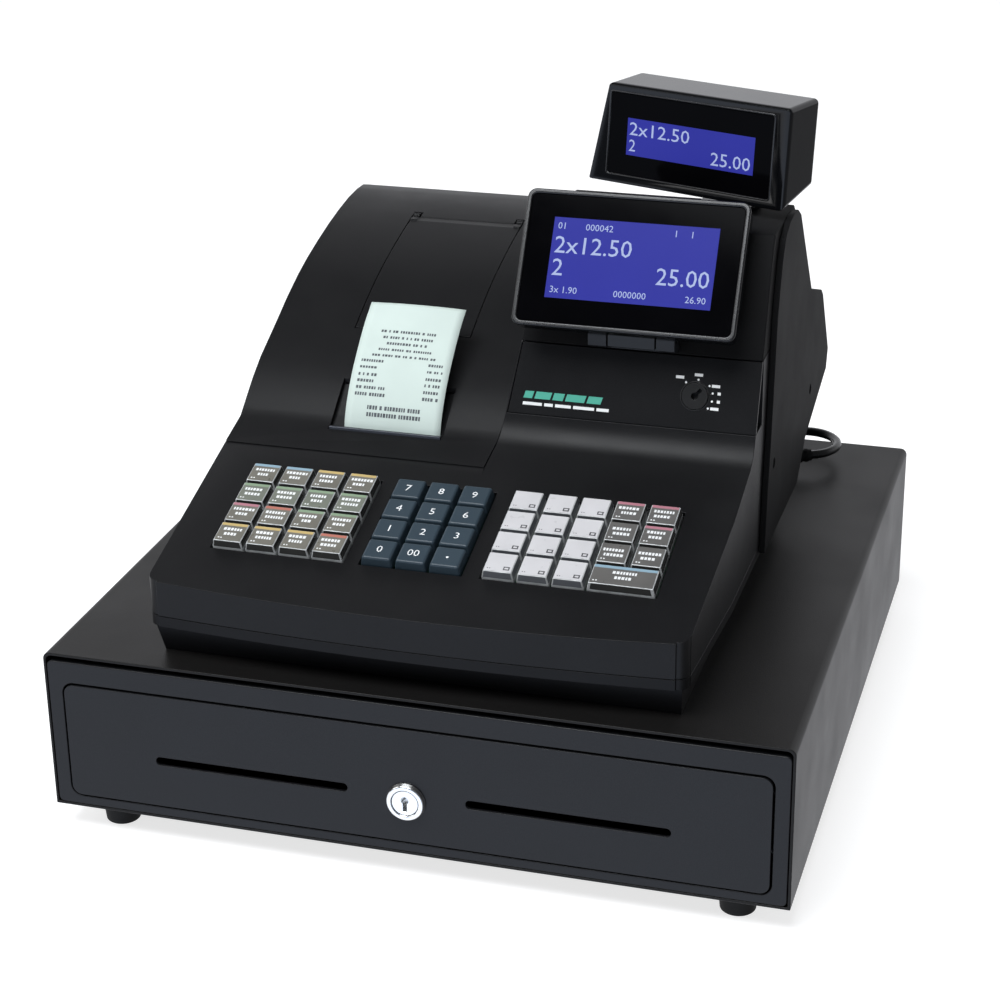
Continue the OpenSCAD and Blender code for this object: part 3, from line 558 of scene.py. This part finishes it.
def make_customer_shell(m):
    """The customer display's housing: rounded outside, with a recess for the glass."""
    depth, low, high, right = 33.5, 2.0, 58.5, 62.3
    rise_low, rise_high = (depth * math.tan(math.radians(a)) for a in (18, 4.6))
    bm = bmesh.new()

    def corner_points(y0, y1, z):
        return [bm.verts.new(CUSTOMER @ (Vector((x, y, z)) * MM)) for x, y in (
            (-65.4 + 0.186 * y0, y0), (right, y0), (right, y1), (-65.4 + 0.186 * y1, y1))]

    front = corner_points(low, high, 0)
    back = corner_points(low + rise_low, high + rise_high, -depth)
    inner, floor = ([bm.verts.new(CUSTOMER @ (Vector((x, y, z)) * MM)) for x, y in (
        (-52.4, 7.3), (52.4, 7.3), (52.4, 53.7), (-52.4, 53.7))] for z in (0, -2.4))
    for i in range(4):
        j = (i + 1) % 4
        bm.faces.new([front[i], front[j], inner[j], inner[i]])
        bm.faces.new([inner[i], inner[j], floor[j], floor[i]])
        if i:
            bm.faces.new([front[j], front[i], back[i], back[j]])
    bm.faces.new(floor)
    bm.faces.new(back[::-1])

    # the underside with its round pocket for the neck
    a, b, c = (v.co for v in (front[0], front[1], back[1]))
    normal = (b - a).cross(c - a)
    axis = case_point(116.3, 47.8, 0)
    n, r, top = 32, 8.3 * MM, case_point(0, 0, 308.5).z
    rim, roof = [], []
    for k in range(n):
        angle = 2 * math.pi * k / n
        x, y = axis.x + r * math.cos(angle), axis.y + r * math.sin(angle)
        z = a.z - (normal.x * (x - a.x) + normal.y * (y - a.y)) / normal.z
        rim.append(bm.verts.new((x, y, z)))
        roof.append(bm.verts.new((x, y, top)))
    corners = [front[0], front[1], back[1], back[0]]
    nearest = [min(range(4), key=lambda q: (corners[q].co - v.co).to_2d().length) for v in rim]
    for k in range(n):
        j = (k + 1) % n
        bm.faces.new([rim[k], rim[j], roof[j], roof[k]])
        p, q = nearest[k], nearest[j]
        bm.faces.new([rim[j], rim[k], corners[p]])
        step = (q - p) % 4
        while step:
            bm.faces.new([rim[j], corners[p], corners[(p + 1) % 4]])
            p = (p + 1) % 4
            step -= 1
    bm.faces.new(roof)
    bmesh.ops.recalc_face_normals(bm, faces=bm.faces)
    weight = bm.edges.layers.float.new("bevel_weight_edge")
    outside = set(front + back)
    for e in bm.edges:
        if set(e.verts) <= outside:
            e[weight] = 1.0
    mesh = bpy.data.meshes.new("customer_display_shell")
    bm.to_mesh(mesh)
    bm.free()
    o = add_object("customer_display_shell", mesh, "customer_display",
                   [m["display_plastic"]])
    shade_smooth(mesh)
    bevel(o, 0.0030, 5)
    o.modifiers["bevel"].limit_method = "WEIGHT"
    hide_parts("customer_display_housing")


def make_displays(m):
    finish_node("operator_display_housing", m["display_plastic"], 0.0005, 3)
    finish_node("operator_display_bezel", m["bezel_dark"], 0.0010, 4)
    finish_node("operator_display_glass", m["screen_glass"], 0.0002)
    finish_node("display_bracket", m["bracket_grey"], 0.0003)
    finish_node("customer_display_neck", m["display_plastic"], 0.0008)
    make_customer_shell(m)
    finish_node("customer_display_glass", m["screen_glass"], 0.0003)

    # operator screen, 91.8 x 45
    z = -0.9
    x0, y0, w, h = -45.2, 16.4, 91.8, 45.0
    b = Build(OPERATOR)
    screen(b, m, x0, y0, w, h, z)
    z += 0.08
    text = m["lcd_text"]
    b.text("01", x0 + 2.5, y0 + 38.6, 3.6, z, text)
    b.text("000042", x0 + 18, y0 + 38.6, 3.6, z, text)
    b.text("1", x0 + 68, y0 + 38.6, 3.6, z, text)
    b.text("1", x0 + 77, y0 + 38.6, 3.6, z, text)
    b.text("2x12.50", x0 + 2, y0 + 25.2, 9.3, z, text, width=43)
    b.text("2", x0 + 2.2, y0 + 12.6, 9.3, z, text)
    b.text("25.00", x0 + w - 2.5, y0 + 11.6, 9.3, z, text, "RIGHT", width=29)
    b.text("3x 1.90", x0 + 2.5, y0 + 3, 3.6, z, text)
    b.text("0000000", x0 + 38, y0 + 3, 3.6, z, text)
    b.text("26.90", x0 + w - 3, y0 + 3, 3.6, z, text, "RIGHT")
    b.object("operator_screen", "operator_display", "screen_glass")

    # customer screen, 82 x 21
    z = -0.5
    x0, y0, w, h = -52.2 + 11.6, 7.5 + 11.6, 82, 21
    b = Build(CUSTOMER)
    screen(b, m, x0, y0, w, h, z)
    z += 0.08
    b.text("2x12.50", x0 + 1.5, y0 + 11.6, 7.2, z, text, width=39)
    b.text("2", x0 + 1.7, y0 + 2.4, 6.6, z, text)
    b.text("25.00", x0 + w - 2, y0 + 2, 7.2, z, text, "RIGHT", width=25)
    b.object("customer_screen", "customer_display", "screen_glass")

    # smooth raised surround of the customer glass
    ring = Build(CUSTOMER)
    gw, gh, gy = 104.4 / 2, 46, 7.5
    inner = rounded(-gw, gw, gy, gy + gh, 1.2)
    outer = rounded(-gw - 1.1, gw + 1.1, gy - 1.1, gy + gh + 1.1, 2.2)
    n = len(inner)
    for i in range(n):
        j = (i + 1) % n
        a, b2, c, d = outer[i], outer[j], inner[j], inner[i]
        mid = [((p[0] + q[0]) / 2, (p[1] + q[1]) / 2) for p, q in ((a, d), (b2, c))]
        ring.face([(*a, 0.02), (*b2, 0.02), (*mid[1], 0.45), (*mid[0], 0.45)], m["bezel_dark"])
        ring.face([(*mid[0], 0.45), (*mid[1], 0.45), (*c, -0.45), (*d, -0.45)], m["bezel_dark"])
    bmesh.ops.remove_doubles(ring.bm, verts=ring.bm.verts, dist=1e-6)
    o = ring.object("customer_glass_surround", "customer_display", "display_plastic")
    shade_smooth(o.data)


def rounded(x0, x1, y0, y1, r, n=6):
    """Corner points of a rounded rectangle, anticlockwise."""
    out = []
    for cx, cy, a0 in ((x1 - r, y0 + r, -90), (x1 - r, y1 - r, 0), (x0 + r, y1 - r, 90),
                       (x0 + r, y0 + r, 180)):
        for k in range(n + 1):
            a = math.radians(a0 + 90 * k / n)
            out.append((cx + r * math.cos(a), cy + r * math.sin(a)))
    return out


# ---------- receipt ----------


def receipt_line():
    """Side line of the paper [y, z], smoothed."""
    keys = [(-49.6, 158), (-49, 172), (-47, 181), (-43, 189.5), (-36, 199.5), (-27.6, 208.7),
            (-17.5, 217.8), (-6.5, 226.6), (5.0, 233.6)]
    pts = []
    for i in range(len(keys) - 1):
        p0, p1, p2, p3 = (keys[max(i - 1, 0)], keys[i], keys[i + 1],
                          keys[min(i + 2, len(keys) - 1)])
        for k in range(6):
            t = k / 6
            pts.append(tuple(0.5 * (2 * b + (c - a) * t + (2 * a - 5 * b + 4 * c - d) * t * t
                                    + (3 * b - a - 3 * c + d) * t ** 3)
                             for a, b, c, d in zip(p0, p1, p2, p3)))
    pts.append(keys[-1])
    return pts


def make_receipt(m):
    line = receipt_line()
    x0, x1, across = -84.3, -27.2, 12
    lengths = [0.0]
    for a, b in zip(line, line[1:]):
        lengths.append(lengths[-1] + math.dist(a, b))
    total = lengths[-1]

    def at(x, s, lift):
        """A point on the paper: x across, s along, a little cupped across its width."""
        s = max(0, min(total, s))
        i = max(k for k in range(len(line) - 1) if lengths[k] <= s)
        t = (s - lengths[i]) / (lengths[i + 1] - lengths[i])
        y = line[i][0] + (line[i + 1][0] - line[i][0]) * t
        z = line[i][1] + (line[i + 1][1] - line[i][1]) * t
        dy, dz = line[i + 1][0] - line[i][0], line[i + 1][1] - line[i][1]
        k = 1 / math.hypot(dy, dz)
        ny, nz = -dz * k, dy * k
        u = (x - (x0 + x1) / 2) / ((x1 - x0) / 2)
        lift += 0.9 * (1 - u * u) * min(1, s / total * 1.2) ** 2
        return (x, y + ny * lift, z + nz * lift)

    b = Build(CASE)
    steps = 44
    grid = [[b.bm.verts.new(CASE @ (Vector(at(x0 + (x1 - x0) * i / across, total * j / steps, 0))
                                    * MM)) for i in range(across + 1)] for j in range(steps + 1)]
    for j in range(steps):
        for i in range(across):
            f = b.bm.faces.new([grid[j][i], grid[j][i + 1], grid[j + 1][i + 1], grid[j + 1][i]])
            f.material_index = b._slot(m["paper"])
            f.smooth = True
    o = b.object("receipt", "register", "paper")
    solid = o.modifiers.new("thickness", "SOLIDIFY")
    solid.thickness, solid.offset = 0.0002, -1
    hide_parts("receipt_paper")

    # dark sides and floor of the recess that the paper comes out of
    recess = [(-53.6, 168), (-53.2, 174), (-47, 176.5), (-41, 180.5), (-33, 186.5), (-24.2, 193)]
    liner = Build(CASE)
    for (ya, za), (yb, zb) in zip(recess, recess[1:]):
        liner.face([(-91.9, ya, za), (-25.1, ya, za), (-25.1, yb, zb), (-91.9, yb, zb)],
                   m["cover_plastic"])
    for x in (-91.9, -25.1):
        liner.face([(x, y, z) for y, z in recess] + [(x, -24.2, 195.5), (x, -53.6, 176)],
                   m["cover_plastic"])
    liner.object("throat_liner", "register", "cover_plastic")

    # rows of plain bars in place of printed words
    marks = Build(CASE)
    middle = (x0 + x1) / 2
    ink = m["ink"]

    def bar(xa, xb, s, h):
        n = max(1, int((xb - xa) / 4))
        for k in range(n):
            a, c = xa + (xb - xa) * k / n, xa + (xb - xa) * (k + 1) / n
            marks.face([at(a, s, PRINT_LIFT), at(c, s, PRINT_LIFT), at(c, s + h, PRINT_LIFT),
                        at(a, s + h, PRINT_LIFT)], ink)

    def words(xa, xb, s, h):
        x = xa
        while x < xb - 0.8:
            w = min(random.uniform(0.8, 1.5), xb - x)
            bar(x, x + w, s, h)
            x += w + (0.45 if random.random() < 0.8 else 1.5)

    top = total - 13
    for half, h in ((17, 1.6), (15, 1.6), (12, 1.6), (16, 1.4), (19, 1.4)):
        words(middle - half, middle + half, top - 8, h)
        top -= 3.9
    rows = [(0, 1.6), (4.0, 1.4), (8.6, 1.7), (12.4, 1.7), (16.4, 1.7), (20.4, 1.9)]
    top -= 8
    for drop, h in rows:
        words(x0 + 4, x0 + 4 + random.uniform(10, 18), top - drop, h)
        words(x1 - 13, x1 - 3.5, top - drop, h)
    words(middle - 16, middle + 16, top - 28, 2.3)
    words(middle - 16, middle + 16, top - 32, 2.3)
    marks.object("receipt_print", "register", "paper")


# ---------- small pieces on the case ----------

PANEL_LEAN = 20.76      # degrees back from upright
SWITCH_X, SWITCH_Z = 115.1, 209.4
SWITCH_Y = -41.6 + (SWITCH_Z - 191) * math.tan(math.radians(PANEL_LEAN))
SWITCH = CASE @ place(SWITCH_X, SWITCH_Y, SWITCH_Z) @ turn("X", 90 - PANEL_LEAN)


def make_switch_marks(m):
    """Six dots and plain strokes round the mode switch, and strokes on the panel's left."""
    b = Build(SWITCH)
    for degrees, r in ((128, 9.1), (83, 9.2), (40, 9.8), (14, 9.9), (-12, 9.8), (-38, 9.8)):
        a = math.radians(degrees)
        b.disc(r * math.cos(a), r * math.sin(a), 0.6, PRINT_LIFT, m["mark_white"])
        across = 0 if degrees == 83 else math.copysign(3.6, math.cos(a))
        x, up = r * math.cos(a) + across, r * math.sin(a) + (2.6 if r < 9.5 else 0)
        w = 0.9 if degrees in (14, -12) else 2.3
        b.rectangle(x - w, x + w, up - 0.8, up + 0.8, PRINT_LIFT, m["mark_white"])
    for widths, low, high, lean, name in (((5, 9, 6, 11, 8), -9.4, -5.4, 1.1, "mark_green"),
                                          ((11, 5, 9, 12, 7), -13.2, -11.5, 0, "mark_white")):
        x = -96.5
        for w in widths:
            b.face([(x, low, PRINT_LIFT), (x + w, low, PRINT_LIFT),
                    (x + w + lean, high, PRINT_LIFT), (x + lean, high, PRINT_LIFT)], m[name])
            x += w + 1.3
    b.object("mode_switch_dots", "register", "cover_plastic")
    ring = Build(SWITCH)
    n = 48
    for k in range(n):
        a0, a1 = 2 * math.pi * k / n, 2 * math.pi * (k + 1) / n
        for (ra, za), (rb, zb) in (((8.3, 0.04), (8.0, 0.4)), ((8.0, 0.4), (7.65, 0.3))):
            ring.face([(ra * math.cos(a0), ra * math.sin(a0), za),
                       (ra * math.cos(a1), ra * math.sin(a1), za),
                       (rb * math.cos(a1), rb * math.sin(a1), zb),
                       (rb * math.cos(a0), rb * math.sin(a0), zb)], m["switch_grey"])
    bmesh.ops.remove_doubles(ring.bm, verts=ring.bm.verts, dist=1e-6)
    o = ring.object("mode_switch_ring", "register", "switch_grey")
    shade_smooth(o.data)


def make_nodes(m):
    plan = {
        "drawer_case": ("case_paint", 0.0005, 3), "drawer_front_frame": ("front_paint", 0.0006, 3),
        "drawer_feet": ("rubber", 0.0010, 3), "outer_slides": ("steel", 0.0003, 1),
        "latch_unit": ("steel", 0.0003, 1), "drawer_front": ("front_paint", 0.0003, 3),
        "drawer_box": ("steel", 0.0003, 1), "till_tray": ("till_plastic", 0.0005, 2),
        "lock_bezel": ("chrome", 0.0007, 3), "lock_plug": ("chrome", 0.0003, 2),
        "base_pan": ("pan_plastic", 0.0003, 2), "upper_case": ("cover_plastic", 0.0003, 3),
        "tower_cover": ("side_plastic", 0.0010, 3), "side_cover": ("side_plastic", 0.0004, 3),
        "switch_panel": ("cover_plastic", 0.0003, 2), "key_switch": ("switch_grey", 0.0003, 2),
        "printer_cover": ("cover_plastic", 0.0003, 3), "paper_door": ("cover_plastic", 0.0004, 2),
        "printer_mechanism": ("mechanism", 0.0003, 1), "paper_roll": ("paper", 0.0004, 2),
        "keyboard_board": ("board_green", 0.0001, 1), "strain_relief": ("rubber", 0.0003, 2),
        "cord_tie": ("rubber", 0.0003, 2), "mains_plug": ("cord_plastic", 0.0005, 3),
    }
    clamped = ("switch_panel", "lock_plug", "strain_relief", "till_tray", "key_switch")
    for i in range(1, 5):
        plan[f"bill_clip_{i}"] = ("clip_plastic", 0.0002, 2)
    for node, (name, width, segments) in plan.items():
        finish_node(node, m[name], width, segments, clamp=node in clamped)


# ---------- floor and light ----------


def make_stage():
    mesh = bpy.data.meshes.new("floor")
    half = 8
    mesh.from_pydata([(-half, -half, 0), (half, -half, 0), (half, half, 0), (-half, half, 0)],
                     [], [(0, 1, 2, 3)])
    floor = bpy.data.objects.new("floor", mesh)
    m = material("floor_white", (0.50, 0.50, 0.50), 0.9, grain=(60, 0.02), tint=0.01,
                 specular=0.1)
    shader = m.node_tree.nodes["Principled BSDF"]
    shader.inputs["Emission Color"].default_value = (1, 1, 1, 1)
    shader.inputs["Emission Strength"].default_value = 0.74
    mesh.materials.append(m)
    bpy.context.scene.collection.objects.link(floor)
    floor.visible_glossy = False

    # a dark studio with a bright backdrop behind the register
    world = bpy.data.worlds.new("studio")
    world.use_nodes = True
    t = world.node_tree
    where = t.nodes.new("ShaderNodeTexCoord").outputs["Generated"]
    split = t.nodes.new("ShaderNodeSeparateXYZ")
    t.links.new(where, split.inputs["Vector"])

    def ramp(axis, start, end, low, high):
        level = t.nodes.new("ShaderNodeMapRange")
        level.interpolation_type = "SMOOTHSTEP"
        for key, value in (("From Min", start), ("From Max", end), ("To Min", low),
                           ("To Max", high)):
            level.inputs[key].default_value = value
        t.links.new(split.outputs[axis], level.inputs["Value"])
        return level.outputs["Result"]

    def join(operation, first, second, third=None):
        node = t.nodes.new("ShaderNodeMath")
        node.operation = operation
        for socket, value in zip(node.inputs, (first, second, third)):
            if isinstance(value, (int, float)):
                socket.default_value = value
            elif value is not None:
                t.links.new(value, socket)
        return node.outputs[0]

    backdrop = join("MULTIPLY", ramp("Y", 0.0, 0.5, 0, 1), ramp("Z", 0.50, 0.72, 1, 0))
    above = join("MULTIPLY", backdrop, ramp("Z", -0.06, 0.06, 0, 1))
    below = join("MULTIPLY", ramp("X", 0.35, 0.65, 1, 0.15), ramp("Z", -0.06, 0.06, 1, 0))
    below = join("MULTIPLY", below, ramp("Y", -0.8, -0.3, 1.8, 1))
    total = join("MULTIPLY_ADD", join("ADD", above, below), 0.95, 0.15)
    background = t.nodes["Background"]
    blue = t.nodes.new("ShaderNodeMix")
    blue.data_type = "RGBA"
    blue.inputs["A"].default_value = (0.95, 0.96, 1.0, 1)
    blue.inputs["B"].default_value = (0.74, 0.83, 1.0, 1)
    t.links.new(ramp("Y", -0.8, -0.3, 1, 0), blue.inputs["Factor"])
    t.links.new(blue.outputs["Result"], background.inputs["Color"])
    t.links.new(total, background.inputs["Strength"])
    bpy.context.scene.world = world

    def softbox(name, where, target, size, power, color=(1, 1, 1)):
        data = bpy.data.lights.new(name, "AREA")
        data.shape, data.size, data.size_y, data.energy = "RECTANGLE", size[0], size[1], power
        data.color = color
        o = bpy.data.objects.new(name, data)
        o.location = where
        o.rotation_euler = (Vector(target) - Vector(where)).to_track_quat("-Z", "Y").to_euler()
        bpy.context.scene.collection.objects.link(o)

    softbox("key_light", (-0.4, -1.1, 2.3), (0, 0, 0.15), (1.7, 1.2), 72, (0.94, 0.97, 1))
    softbox("left_light", (-2.0, -0.8, 1.3), (0, 0, 0.15), (1.2, 1.2), 12)
    bpy.context.scene.view_settings.view_transform = "Standard"


set_camera()
materials = make_materials()
make_cord(materials)
make_nodes(materials)
make_keys(materials)
make_displays(materials)
make_receipt(materials)
make_switch_marks(materials)
make_stage()
